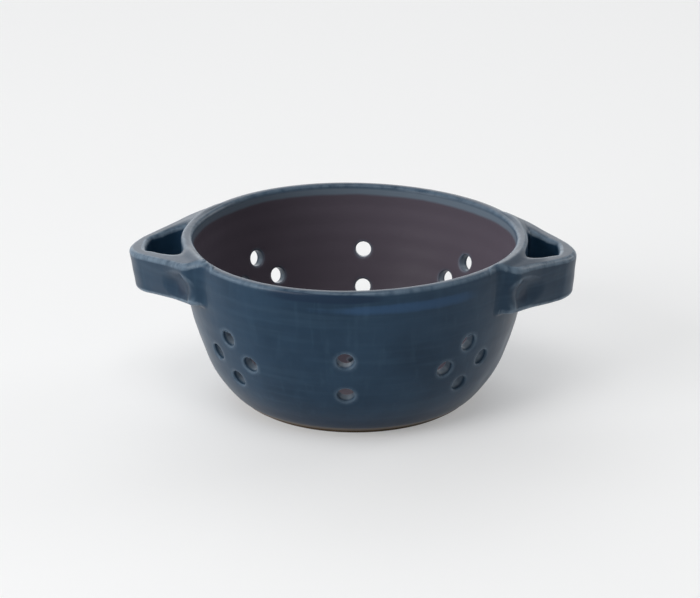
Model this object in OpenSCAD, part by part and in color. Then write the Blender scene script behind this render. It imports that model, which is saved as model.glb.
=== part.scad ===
// Berry colander bowl: a thrown stoneware bowl with punched drain holes, two looped lug handles
// and a bare clay foot ring. Millimetres, +Z up, origin on the table under the bowl's axis,
// handles on -X and +X.

/* [Bowl] */
// Outer diameter of the rim
rim_d = 127.5; // [110:0.5:150]
// Height of the rim above the table
bowl_h = 62; // [56:0.5:75]
// Thickness of the thrown wall
wall_t = 4.4; // [3.6:0.1:6]
// Radius of the long curve of the flank, upright at the rim
flank_r = 115; // [95:1:160]
// Height where the flank runs into the rounder belly
belly_h = 18.5; // [14:0.5:24]
// Thickness of the floor
floor_t = 5; // [4:0.1:7]
// Radius of the curve between floor and wall inside the bowl
floor_fillet_r = 14; // [8:0.5:18]

/* [Foot] */
// Outer diameter of the foot on the table
foot_d = 83.4; // [76:0.2:92]
// Width of the foot ring
foot_w = 8; // [6:0.5:11]
// Height of the bare clay that shows under the glaze
bare_h = 1.4; // [1:0.1:2.2]
// Height of the floor's underside above the table
recess_h = 3.6; // [2.8:0.1:5]
// Width of the spigot on the foot ring that seats under the floor
spigot_w = 4; // [3:0.5:6]
// Clearance round the spigot
spigot_gap = 0.15; // [0.1:0.05:0.4]

/* [Drain holes] */
// Diameter of a drain hole
hole_d = 6.1; // [4.5:0.1:8]
// Height of the middle of the four-hole diamonds in the wall
diamond_z = 28; // [25:0.5:32]
// Height of a diamond from its middle to its top hole
diamond_rise = 8.4; // [6.5:0.1:10]
// Distance along the wall from a diamond's middle to a side hole
diamond_spread = 9; // [6.5:0.1:11]
// Height of the middle of the upright pairs in the wall
pair_z = 28; // [25:0.5:32]
// Height of a pair from its middle to its top hole
pair_rise = 7.3; // [5.5:0.1:9]
// Distance from the axis to the drain holes in the floor
floor_hole_r = 9; // [7:0.5:20]
// Number of drain holes in the floor
floor_holes = 4; // [3:1:6]

/* [Handles] */
// How far a handle stands out from the rim
handle_reach = 20.2; // [16:0.1:26]
// Depth of the handle's top below the rim, where it meets the wall
handle_drop = 2.3; // [2:0.1:8]
// Droop of the handle towards its tip, in degrees
handle_droop = 10; // [4:0.5:16]
// Thickness of the strap at the handle's tip
strap_t = 5.8; // [5:0.1:8]
// Height of the strap at the handle's tip
strap_h = 16.8; // [12:0.2:20]
// Thickness of the strap at its pressed ends
strap_end_t = 8.4; // [6.5:0.1:9]
// Height of the strap at its pressed ends
strap_end_h = 14.4; // [12:0.2:20]
// Length over which the strap swells to its ends
swell_l = 18; // [10:0.5:24]
// Radius of the strap's softened edges
strap_edge_r = 2.2; // [1:0.1:2.4]
// Outer radius of the bend at the handle's tip
tip_r = 16; // [12:0.1:20]
// How far the strap's outer face stands off the wall where the arms run alongside it
arm_stand_off = 1.9; // [1.4:0.1:3.5]
// Length of each arm that is pressed onto the wall
arm_lap = 9; // [6:0.5:18]
// Radius of the outer face where the strap's end turns into the wall
end_turn_r = 9; // [8.5:0.5:12]
// Thickness of the slip that joins the strap to the wall
slip_t = 0.1; // [0.05:0.05:0.3]
// Radius of a thumb mark in the strap's ends
thumb_r = 5.5; // [3:0.5:7]
// Depth of a thumb mark
thumb_depth = 1.2; // [0.5:0.1:1.5]
// Distance from the middle of a thumb mark to the end of the strap's straight arm
thumb_back = 7; // [0:0.5:10]

/* [Hidden] */
$fn = 96;
glaze_colour = "#3c5166";
clay_colour = "#75624e";
quarter = 90;

// The turned shapes start in the free wall between a hole pair and a hole diamond.
seam_a = 22.5;

// The wall's outside in section is two tangent arcs, each with its centre at [radius, height]. A foot that
// is wide for the rim makes the belly's arc hollow, with a negative radius.
rim_r = rim_d / 2;
foot_r = foot_d / 2;
lip_r = wall_t / 2;
lip_z = bowl_h - lip_r;
flank_c = [rim_r - flank_r, lip_z];
belly_dip = asin((lip_z - belly_h) / flank_r);
belly_out = [cos(belly_dip), -sin(belly_dip)];
belly_top = flank_c + flank_r * belly_out;
belly_chord = belly_top - [foot_r, 0];
belly_r = belly_chord * belly_chord / (2 * belly_out * belly_chord);
belly_c = belly_top - belly_r * belly_out;
belly_rounder = belly_r > 0 && belly_r < flank_r;

// The inside follows the outside one wall thickness in, down to the curve that meets the floor.
floor_z = recess_h + floor_t;
inner_belly_r = belly_r - wall_t;
inner_belly_top = belly_h + wall_t * sin(belly_dip);
fillet_z = floor_z + floor_fillet_r;
fillet_reach = inner_belly_r - floor_fillet_r;
fillet_in = sqrt(pow(fillet_reach, 2) - pow(belly_c[1] - fillet_z, 2));
fillet_c = [belly_c[0] + sign(belly_r) * fillet_in, fillet_z];
fillet_out = (fillet_c - belly_c) / fillet_reach;
fillet_top = fillet_c[1] + floor_fillet_r * fillet_out[1];

foot_inner_r = foot_r - foot_w;
spigot_r = foot_inner_r + spigot_w;

// Angle by which the wall's outward normal dips below level at a height
function wall_dip(z) = z > belly_h ? asin((lip_z - z) / flank_r) : asin((belly_c[1] - z) / belly_r);

// Radius of the wall's outside at a height
function wall_x(z) = z > belly_h
    ? flank_c[0] + flank_r * cos(wall_dip(z))
    : belly_c[0] + belly_r * cos(wall_dip(z));

// Seen from above, an arm's outer face is the common tangent of the tip's bend and of a circle
// that stands off the rim. The angle is that of the tangent's normal from the handle's middle.
tip_x = rim_r + handle_reach - tip_r;
arm_circle_r = rim_r + arm_stand_off;
arm_a = acos((arm_circle_r - tip_r) / tip_x);
arm_out = [cos(arm_a), sin(arm_a)];
arm_along = [-sin(arm_a), cos(arm_a)];
lap_start = sqrt(pow(rim_r, 2) - pow(arm_circle_r - strap_t, 2));
handle_z = bowl_h - handle_drop;

// The strap's middle line: half the bend, a straight arm and a quarter turn into the wall
bend_r = tip_r - strap_t / 2;
turn_r = end_turn_r - strap_end_t / 2;
bend_l = bend_r * arm_a * PI / 180;
arm_l = tip_x * sin(arm_a) - lap_start + arm_lap;
turn_l = turn_r * PI / 2;
strap_l = bend_l + arm_l + turn_l;
arm_start = [tip_x, 0] + bend_r * arm_out;
turn_c = arm_start + arm_l * arm_along - turn_r * arm_out;
thumb_s = bend_l + arm_l - thumb_back;

// Steps along half the strap, along a softened edge and up the strap's faces
strap_steps = 36;
edge_steps = 4;
face_steps = 6;

// Smooth rise from 0 to 1
function rise(x) = let (u = min(max(x, 0), 1)) u * u * (3 - 2 * u);

// Angle of the strap's outward normal at a distance from the handle's tip along one arm
function strap_a(s) = s < bend_l
    ? s / bend_r * 180 / PI
    : arm_a + max(s - bend_l - arm_l, 0) / turn_r * 180 / PI;

// Middle of the strap from above, at a distance from the handle's tip along one arm
function strap_middle(s) = s < bend_l
    ? [tip_x, 0] + bend_r * [cos(strap_a(s)), sin(strap_a(s))]
    : s < bend_l + arm_l
    ? arm_start + (s - bend_l) * arm_along
    : turn_c + turn_r * [cos(strap_a(s)), sin(strap_a(s))];

// Swelling of the strap towards its ends, from 0 to 1
function swell(s) = rise((s - strap_l + swell_l) / swell_l);

// Depth of the thumb mark at a place on the strap's outer face
function thumb_dent(s, z) = thumb_depth * rise(1 - norm([s - thumb_s, z]) / thumb_r);

// Strap in section, as [out, up] from its middle: soft edges, then the faces between them
function strap_outline(half_t, half_h) = let (t = half_t - strap_edge_r, h = half_h - strap_edge_r) [
    for (i = [0:edge_steps]) let (a = i * 90 / edge_steps)
        [t + strap_edge_r * cos(a), h + strap_edge_r * sin(a)],
    for (i = [0:edge_steps]) let (a = 90 + i * 90 / edge_steps)
        [-t + strap_edge_r * cos(a), h + strap_edge_r * sin(a)],
    for (i = [0:edge_steps]) let (a = 180 + i * 90 / edge_steps)
        [-t + strap_edge_r * cos(a), -h + strap_edge_r * sin(a)],
    for (i = [0:edge_steps]) let (a = 270 + i * 90 / edge_steps)
        [t + strap_edge_r * cos(a), -h + strap_edge_r * sin(a)],
    for (i = [1:face_steps - 1]) [half_t, h * (2 * i / face_steps - 1)]
];

// One ring of points round the strap, at a signed distance from the handle's tip
function strap_ring(d) =
    let (
        s = abs(d),
        half_t = (strap_t + (strap_end_t - strap_t) * swell(s)) / 2,
        half_h = (strap_h + (strap_end_h - strap_h) * swell(s)) / 2,
        m = strap_middle(s),
        a = strap_a(s)
    )
    [for (p = strap_outline(half_t, half_h))
        let (out = p[0] > 0 ? p[0] - thumb_dent(s, p[1]) : p[0])
        [m[0] + out * cos(a), sign(d) * (m[1] + out * sin(a)), p[1] - strap_h / 2]];

// Section between the axis and an arc, between two heights. The arc bulges outwards, or inwards where its
// radius is negative.
module disc_band(c, r, z_low, z_high) {
    if (r > 0) intersection() {
        translate(c) circle(r);
        translate([0, z_low]) square([c[0] + r, z_high - z_low]);
    } else difference() {
        translate([0, z_low]) square([c[0], z_high - z_low]);
        translate(c) circle(-r);
    }
}

// Belly and flank in section, between two heights. The one that lies inside the other's arc runs on past
// the height where they turn into each other, so that the two overlap.
module wall_section(shift, z_low, z_turn, z_high) {
    disc_band(belly_c, belly_r + shift, z_low, belly_rounder ? z_high : z_turn);
    disc_band(flank_c, flank_r + shift, belly_rounder ? z_turn : z_low, z_high);
}

// Outside of the bowl in section, between two heights, grown by a margin
module outer_section(z_low, z_high, margin = 0) {
    wall_section(margin, z_low, belly_h - margin * sin(belly_dip), z_high);
}

// Hollow of the bowl in section, up to the middle of the lip
module hollow_section() {
    translate([0, floor_z]) square([fillet_c[0], floor_fillet_r]);
    disc_band(fillet_c, floor_fillet_r, floor_z, fillet_z);
    wall_section(-wall_t, fillet_top, inner_belly_top, lip_z);
}

// Rounded lip in section
module lip_section() {
    translate([rim_r - lip_r, lip_z]) intersection() {
        circle(lip_r);
        translate([-lip_r, 0]) square([wall_t, lip_r]);
    }
}

// One hole punched square to the wall at a compass angle and a height
module wall_hole(angle, z) {
    rotate([0, 0, angle])
        translate([wall_x(z), 0, z])
        rotate([0, 90 + wall_dip(z), 0])
        cylinder(d = hole_d, h = 4 * wall_t, center = true);
}

// Four holes in a diamond on the wall
module hole_diamond(angle) {
    spread_a = diamond_spread / wall_x(diamond_z) * 180 / PI;
    for (side = [-1, 1]) {
        wall_hole(angle, diamond_z + side * diamond_rise);
        wall_hole(angle + side * spread_a, diamond_z);
    }
}

// Two holes one above the other on the wall
module hole_pair(angle) {
    for (side = [-1, 1]) wall_hole(angle, pair_z + side * pair_rise);
}

// All the drain holes: diamonds between the handles, pairs in front, behind and under the handles
module drain_holes() {
    for (turn = [0:3]) {
        hole_pair(turn * quarter);
        hole_diamond((turn + 0.5) * quarter);
    }
    for (i = [0:floor_holes - 1])
        rotate([0, 0, i * 360 / floor_holes])
        translate([floor_hole_r, 0, recess_h])
        cylinder(d = hole_d, h = 4 * floor_t, center = true);
}

// Thrown bowl: wall, lip and floor in one piece of clay, with a rebate under it for the foot ring
module bowl_body() {
    color(glaze_colour) difference() {
        rotate([0, 0, seam_a]) rotate_extrude() {
            difference() {
                outer_section(bare_h, lip_z);
                hollow_section();
                translate([0, bare_h]) square([spigot_r + spigot_gap, recess_h - bare_h]);
            }
            lip_section();
        }
        drain_holes();
    }
}

// Bare foot ring, flush with the belly outside, with a spigot that seats under the floor
module foot_ring() {
    color(clay_colour) rotate_extrude() {
        difference() {
            disc_band(belly_c, belly_r, 0, bare_h);
            square([foot_inner_r, bare_h]);
        }
        translate([foot_inner_r, bare_h]) square([spigot_w, recess_h - bare_h]);
    }
}

// Strap bent to a loop, level, with the top of its tip at height zero
module strap_loop() {
    rings = [for (i = [-strap_steps:strap_steps]) strap_ring(i * strap_l / strap_steps)];
    n = len(rings[0]);
    last = len(rings) - 1;
    points = [for (ring = rings) each ring];
    sides = [for (i = [0:last - 1], j = [0:n - 1])
        let (a = i * n + j, b = i * n + (j + 1) % n)
        each [[a, b, a + n], [b, b + n, a + n]]];
    // Each end's outline starts part way round a soft edge of the inner face.
    first = edge_steps + 1 + floor(edge_steps / 2);
    first_end = [for (j = [0:n - 1]) (first + n - j) % n];
    last_end = [for (j = [0:n - 1]) last * n + (first + j) % n];
    polyhedron(points, concat(sides, [first_end, last_end]));
}

// Handle on the +X side: the drooping loop, cut away where the bowl's wall is
module lug_handle() {
    color(glaze_colour) difference() {
        translate([rim_r, 0, handle_z])
            rotate([0, handle_droop, 0])
            translate([-rim_r, 0, 0])
            strap_loop();
        rotate([0, 0, quarter]) rotate_extrude() outer_section(0, bowl_h + strap_h, slip_t);
    }
}

// Handle on the left side of the bowl
module left_handle() {
    rotate([0, 0, 2 * quarter]) lug_handle();
}

// Handle on the right side of the bowl
module right_handle() {
    lug_handle();
}

bowl_body();
foot_ring();
left_handle();
right_handle();
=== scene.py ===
"""Looks of the berry colander bowl: a glazed bowl with drain holes, two strap handles and a bare foot ring.

Lengths are in millimetres while a piece is shaped, and in metres from the moment it becomes an object.
"""

import logging
from dataclasses import dataclass
from enum import Enum
from functools import cached_property
from math import acos, asin, atan2, ceil, cos, hypot, pi, radians, sin, sqrt, tau

import bmesh
import bpy
import numpy as np
from mathutils import Matrix, Vector

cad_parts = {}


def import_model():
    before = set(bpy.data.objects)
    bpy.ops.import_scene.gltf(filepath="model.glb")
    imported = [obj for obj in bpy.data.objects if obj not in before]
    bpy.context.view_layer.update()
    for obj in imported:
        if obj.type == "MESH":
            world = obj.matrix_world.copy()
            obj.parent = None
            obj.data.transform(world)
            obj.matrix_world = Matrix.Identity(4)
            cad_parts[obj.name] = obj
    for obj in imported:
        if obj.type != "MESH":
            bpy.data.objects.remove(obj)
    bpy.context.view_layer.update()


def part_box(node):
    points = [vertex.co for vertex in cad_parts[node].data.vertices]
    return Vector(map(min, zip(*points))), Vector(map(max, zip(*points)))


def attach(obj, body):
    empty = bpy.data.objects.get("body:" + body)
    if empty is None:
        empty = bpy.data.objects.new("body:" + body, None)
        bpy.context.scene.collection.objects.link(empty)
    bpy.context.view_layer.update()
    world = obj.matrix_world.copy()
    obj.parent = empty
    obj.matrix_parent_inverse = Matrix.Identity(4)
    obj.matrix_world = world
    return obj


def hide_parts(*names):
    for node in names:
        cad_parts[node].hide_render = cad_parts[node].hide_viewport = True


LOG = logging.getLogger("colander_bowl")
MM = 0.001
BODY = "root"
Z_AXIS = Vector((0, 0, 1))
Colour = tuple[float, float, float]
Point = tuple[float, float]
Step = tuple[float, float, float]
Socket = bpy.types.NodeSocket
Shape = bmesh.types.BMesh
Vert = bmesh.types.BMVert


class Side(Enum):
    """The side of the bowl that a handle is on, with the sign of X there."""

    LEFT = -1
    RIGHT = 1


class Coat(Enum):
    """The record's material slots."""

    GLAZE = "blue_glaze"
    CLAY = "bare_clay"


class Rounding(Enum):
    """What a rounding is run along."""

    EDGES = "EDGES"
    CORNERS = "VERTICES"


def rise(x: np.ndarray) -> np.ndarray:
    """Smooth rise from 0 to 1."""
    u = np.clip(x, 0.0, 1.0)
    return u * u * (3.0 - 2.0 * u)


def run_together(a: np.ndarray, b: np.ndarray, fill: np.ndarray) -> np.ndarray:
    """Lesser of two distances, with the corner between them filled.

    Args:
        a: One distance for each point.
        b: The other.
        fill: Reach of the filling.

    Returns:
        One distance for each point.
    """
    close = np.maximum(fill - np.abs(a - b), 0.0) / fill
    return np.minimum(a, b) - close**2 * fill / 4.0


def coords(verts: list[Vert]) -> np.ndarray:
    """Places of some vertices, one row each."""
    return np.array([v.co[:] for v in verts], float).reshape(-1, 3)


def place(verts: list[Vert], points: np.ndarray) -> None:
    """Moves some vertices to new places."""
    for vert, point in zip(verts, points):
        vert.co = point


def arc(centre: Point, radius: float, start: float, end: float, steps: int) -> list[Point]:
    """Points of an arc in section, without its first.

    Args:
        centre: Centre as radius and height.
        radius: Radius of the arc.
        start: First angle from level, up being positive.
        end: Last angle.
        steps: Number of points.

    Returns:
        The points as radius and height.
    """
    angles = [start + (end - start) * (i + 1) / steps for i in range(steps)]
    return [(centre[0] + radius * cos(a), centre[1] + radius * sin(a)) for a in angles]


def line(start: Point, end: Point, spacing: float) -> list[Point]:
    """Evenly spaced points of a straight stretch in section, without its first.

    Args:
        start: First point as radius and height.
        end: Last point.
        spacing: Widest distance between points.

    Returns:
        The points as radius and height.
    """
    steps = max(1, ceil(hypot(end[0] - start[0], end[1] - start[1]) / spacing))
    return [tuple(np.array(start) + (np.array(end) - start) * (i + 1) / steps) for i in range(steps)]


def turned(bm: Shape, section: list[Point], steps: int, closed: bool) -> None:
    """Turns a section about the upright axis.

    Args:
        bm: Empty mesh to fill.
        section: Points as radius and height.
        steps: Number of steps round the axis.
        closed: Whether the section's last point joins its first.
    """
    row = bm.verts.layers.int.new("row")
    chain = [bm.verts.new((r, 0.0, z)) for r, z in section]
    for index, vert in enumerate(chain):
        vert[row] = index
    pairs = list(zip(chain, chain[1:])) + ([(chain[-1], chain[0])] if closed else [])
    edges = [bm.edges.new(pair) for pair in pairs]
    round_axis = {"cent": (0, 0, 0), "axis": Z_AXIS, "angle": tau, "steps": steps}
    bmesh.ops.spin(bm, geom=chain + edges, use_merge=True, **round_axis)


def soften(
    bm: Shape, geom: list, width: float, segments: int, along: Rounding = Rounding.EDGES, clamp: bool = True
) -> None:
    """Rounds some edges or corners.

    Args:
        bm: The mesh.
        geom: The edges or the corners.
        width: Width of the rounding.
        segments: Faces across it.
        along: Whether edges or corners are rounded.
        clamp: Whether a rounding stops where it meets another.
    """
    bmesh.ops.bevel(
        bm,
        geom=geom,
        offset=width,
        offset_type="OFFSET",
        segments=segments,
        profile=0.5,
        affect=along.value,
        clamp_overlap=clamp,
        material=-1,
    )


def modified(bm: Shape, kind: str, partner: Shape | None = None, **settings: object) -> Shape:
    """Runs one modifier over a mesh.

    Args:
        bm: The mesh, which is freed.
        kind: The modifier's type.
        partner: Mesh of the modifier's second object, which is freed.
        **settings: The modifier's settings.

    Returns:
        The new mesh.
    """
    helpers = []
    for shape in [bm] + ([partner] if partner else []):
        mesh = bpy.data.meshes.new("helper")
        shape.to_mesh(mesh)
        shape.free()
        helpers.append(bpy.data.objects.new("helper", mesh))
        bpy.context.scene.collection.objects.link(helpers[-1])
    modifier = helpers[0].modifiers.new("helper", kind)
    for name, value in settings.items():
        setattr(modifier, name, value)
    if partner:
        modifier.object = helpers[1]
    bpy.context.view_layer.update()
    result = bmesh.new()
    result.from_object(helpers[0], bpy.context.evaluated_depsgraph_get())
    for helper in helpers:
        mesh = helper.data
        bpy.data.objects.remove(helper)
        bpy.data.meshes.remove(mesh)
    return result


@dataclass(frozen=True)
class ThrownWall:
    """The bowl's section: a long flank over a rounder belly, and the same one wall thickness in."""

    rim_r: float
    rim_z: float
    wall_t: float = 4.4
    flank_r: float = 115.0
    belly_h: float = 18.5
    foot_r: float = 41.7
    floor_z: float = 8.6
    fillet_r: float = 14.0
    bare_h: float = 1.4
    recess_z: float = 3.6
    seat_r: float = 37.85
    bead_r: float = 0.3
    glaze_z: float = 3.4
    glaze_t: float = 0.2
    glaze_roll: float = 0.5
    glaze_fade: float = 5.0
    glaze_over: float = 1.4
    glaze_under: float = 0.8
    drilled_floor_r: float = 16.0
    lip_flat: float = 2.6

    @cached_property
    def lip_r(self) -> float:
        """Radius of the rounded lip."""
        return self.wall_t / 2

    @cached_property
    def lip_c(self) -> Point:
        """Centre of the lip."""
        return self.rim_r - self.lip_r, self.rim_z - self.lip_r

    @cached_property
    def flank_c(self) -> Point:
        """Centre of the flank's arc, which is upright at the lip."""
        return self.rim_r - self.flank_r, self.lip_c[1]

    @cached_property
    def belly_dip(self) -> float:
        """Angle below level of the wall's normal where flank and belly meet."""
        return asin((self.lip_c[1] - self.belly_h) / self.flank_r)

    @cached_property
    def belly_r(self) -> float:
        """Finds the radius of the belly, tangent to the flank and through the foot's edge.

        Returns:
            The radius.
        """
        out = Vector((cos(self.belly_dip), -sin(self.belly_dip)))
        chord = self._belly_top - Vector((self.foot_r, 0.0))
        return chord.length_squared / (2.0 * out.dot(chord))

    @cached_property
    def _belly_top(self) -> Vector:
        """Point where flank and belly meet."""
        out = Vector((cos(self.belly_dip), -sin(self.belly_dip)))
        return Vector(self.flank_c) + self.flank_r * out

    @cached_property
    def belly_c(self) -> Point:
        """Centre of the belly's arc."""
        out = Vector((cos(self.belly_dip), -sin(self.belly_dip)))
        return tuple(self._belly_top - self.belly_r * out)

    @cached_property
    def fillet_c(self) -> Point:
        """Finds the centre of the curve between the floor and the wall's inside.

        Returns:
            The centre as radius and height.
        """
        z = self.floor_z + self.fillet_r
        reach = self.belly_r - self.wall_t - self.fillet_r
        return self.belly_c[0] + sqrt(reach**2 - (self.belly_c[1] - z) ** 2), z

    @cached_property
    def fillet_dip(self) -> float:
        """Angle below level at which that curve runs into the wall."""
        return atan2(self.belly_c[1] - self.fillet_c[1], self.fillet_c[0] - self.belly_c[0])

    def dip(self, z: float) -> float:
        """Finds the angle below level of the outside's normal.

        Args:
            z: Height.

        Returns:
            The angle.
        """
        if z > self.belly_h:
            return asin((self.lip_c[1] - z) / self.flank_r)
        return asin((self.belly_c[1] - z) / self.belly_r)

    def radius(self, z: float) -> float:
        """Finds the radius of the outside.

        Args:
            z: Height.

        Returns:
            The radius.
        """
        if z > self.belly_h:
            return self.flank_c[0] + self.flank_r * cos(self.dip(z))
        return self.belly_c[0] + self.belly_r * cos(self.dip(z))

    def outside(self, p: np.ndarray) -> np.ndarray:
        """Signed distance to the outside and the lip, positive in the air.

        Args:
            p: Points, one row each.

        Returns:
            One distance for each point.
        """
        r, z = np.hypot(p[:, 0], p[:, 1]), p[:, 2]
        flank = np.hypot(r - self.flank_c[0], z - self.flank_c[1]) - self.flank_r
        belly = np.hypot(r - self.belly_c[0], z - self.belly_c[1]) - self.belly_r
        off, up = np.abs(r - self.lip_c[0]), np.maximum(z - self.lip_c[1], 0.0)
        lip = (off**self.lip_flat + up**self.lip_flat) ** (1.0 / self.lip_flat) - self.lip_r
        low = np.arctan2(self.flank_c[1] - z, r - self.flank_c[0]) > self.belly_dip
        return np.where(z > self.lip_c[1], lip, np.where(low, belly, flank))

    def inside(self, p: np.ndarray) -> np.ndarray:
        """Signed distance to the inside of the wall, positive in the clay.

        Args:
            p: Points, one row each.

        Returns:
            One distance for each point.
        """
        r, z = np.hypot(p[:, 0], p[:, 1]), p[:, 2]
        flank = np.hypot(r - self.flank_c[0], z - self.flank_c[1]) - self.flank_r + self.wall_t
        belly = np.hypot(r - self.belly_c[0], z - self.belly_c[1]) - self.belly_r + self.wall_t
        curve = np.hypot(r - self.fillet_c[0], z - self.fillet_c[1]) - self.fillet_r
        low = np.arctan2(self.flank_c[1] - z, r - self.flank_c[0]) > self.belly_dip
        lowest = np.arctan2(self.belly_c[1] - z, r - self.belly_c[0]) > self.fillet_dip
        return np.where(low, np.where(lowest, curve, belly), flank)

    def _lip(self, rows: int) -> list[Point]:
        """Points of the lip from its inside to its outside, rounded with a flattish top.

        Args:
            rows: Number of points.

        Returns:
            The points as radius and height.
        """
        points = []
        for x, z in arc((0.0, 0.0), 1.0, pi, 0.0, rows):
            out, up = abs(x) ** (2.0 / self.lip_flat), abs(z) ** (2.0 / self.lip_flat)
            r = self.lip_c[0] + self.lip_r * (out if x > 0 else -out)
            points.append((r, self.lip_c[1] + self.lip_r * up))
        return points

    def _glazed(self, point: Point) -> Point:
        """Moves a point of the belly's section out by the roll of glaze along the edge of the bare foot.

        Args:
            point: The point as radius and height.

        Returns:
            The moved point.
        """
        dip, over = self.dip(point[1]), point[1] - self.glaze_z
        fade = 1.0 - rise((over - self.glaze_roll) / self.glaze_fade)
        thick = self.glaze_t * float(rise(over / self.glaze_roll + 0.5) * fade)
        return point[0] + thick * cos(dip), point[1] - thick * sin(dip)

    def section(self) -> list[Point]:
        """The bowl's section from the middle of the floor over the lip to the middle of its underside.

        The drilled stretches have rows about 1 mm apart that face each other through the wall.

        Returns:
            The points as radius and height.
        """
        flank_rows, belly_rows, fillet_rows, lip_rows = 42, 5, 15, 24
        foot_rows, edge_rows, bead_rows = 14, 22, 4
        fine, coarse = 1.0, 2.2
        inner_belly_r = self.belly_r - self.wall_t
        bead_c_z = self.bare_h + self.bead_r
        bead_dip = self.dip(bead_c_z)
        bead_c = (self.radius(bead_c_z) - self.bead_r * cos(bead_dip), bead_c_z)
        start = (0.0, self.floor_z)
        drilled = (self.drilled_floor_r, self.floor_z)
        points = [start] + line(start, drilled, fine)
        points += line(drilled, (self.fillet_c[0], self.floor_z), coarse)
        points += arc(self.fillet_c, self.fillet_r, -pi / 2, -self.fillet_dip, fillet_rows)
        points += arc(self.belly_c, inner_belly_r, -self.fillet_dip, -self.belly_dip, belly_rows)
        points += arc(self.flank_c, self.flank_r - self.wall_t, -self.belly_dip, 0.0, flank_rows)
        points += self._lip(lip_rows)
        points += arc(self.flank_c, self.flank_r, 0.0, -self.belly_dip, flank_rows)
        points += arc(self.belly_c, self.belly_r, -self.belly_dip, -self.fillet_dip, belly_rows)
        edge_dips = self.dip(self.glaze_z + self.glaze_over), self.dip(self.glaze_z - self.glaze_under)
        low = arc(self.belly_c, self.belly_r, -self.fillet_dip, -edge_dips[0], foot_rows)
        low += arc(self.belly_c, self.belly_r, -edge_dips[0], -edge_dips[1], edge_rows)
        low += arc(self.belly_c, self.belly_r, -edge_dips[1], -bead_dip, bead_rows)
        points += [self._glazed(point) for point in low]
        points += arc(bead_c, self.bead_r, -bead_dip, -pi / 2, bead_rows)
        points += line(points[-1], (self.seat_r, self.bare_h), coarse)
        points += line(points[-1], (self.seat_r, self.recess_z), coarse)
        points += line(points[-1], (self.drilled_floor_r, self.recess_z), coarse)
        return points + line(points[-1], (0.0, self.recess_z), fine)


@dataclass(frozen=True)
class Potter:
    """The small unevenness that throwing and joining by hand leave, the same for all the pieces."""

    rim_z: float
    oval: float = 0.22
    wander: float = 0.16
    rim_wave: float = 0.5
    ring_pitch: float = 7.5
    ring_depth: float = 0.05
    oval_turn: float = 0.9
    wander_turn: float = -0.6
    wander_twist: float = 40.0
    true_z: float = 3.0
    dent_z: float = 2.0
    dent_rise: float = 6.0
    wave_z: float = 20.0
    wave_rise: float = 40.0
    still_r: float = 20.0
    dents: tuple[tuple[float, float, float, float], ...] = (
        (180.0, 60.0, 20.0, -0.8),
        (-14.0, 25.0, 8.0, 0.4),
        (-24.0, 14.0, 8.0, 0.5),
        (8.0, 16.0, 9.0, 0.45),
        (-163.0, 24.0, 9.0, 0.45),
        (-172.0, 13.0, 8.0, 0.4),
        (-62.0, 42.0, 14.0, 0.25),
        (-112.0, 46.0, 15.0, 0.3),
        (40.0, 30.0, 12.0, 0.35),
        (118.0, 34.0, 13.0, 0.35),
    )

    def press(self, bm: Shape) -> None:
        """Moves a piece's vertices as the hand left them; the foot stays true.

        Args:
            bm: Mesh of the piece, in millimetres.
        """
        verts = list(bm.verts)
        p = coords(verts)
        r, a, z = np.hypot(p[:, 0], p[:, 1]), np.arctan2(p[:, 1], p[:, 0]), p[:, 2]
        up = rise((z - self.true_z) / (self.rim_z - self.true_z))
        wander = self.wander * np.sin(3 * a + self.wander_turn + z / self.wander_twist)
        out = up * (self.oval * np.sin(2 * a + self.oval_turn) + wander)
        out += up * self.ring_depth * np.sin(tau * z / self.ring_pitch + 0.5 * np.sin(a))
        for angle, height, width, depth in self.dents:
            turn = (a - radians(angle) + pi) % tau - pi
            far = np.hypot(turn * r, z - height) / width
            out -= depth * np.exp(-2.0 * far**2) * rise((z - self.dent_z) / self.dent_rise)
        keep = rise(r / self.still_r)
        p[:, 0] += out * keep * np.cos(a)
        p[:, 1] += out * keep * np.sin(a)
        p[:, 2] += keep * up * self.rim_wave * np.sin(2 * a + pi) * rise((z - self.wave_z) / self.wave_rise)
        place(verts, p)


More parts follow.
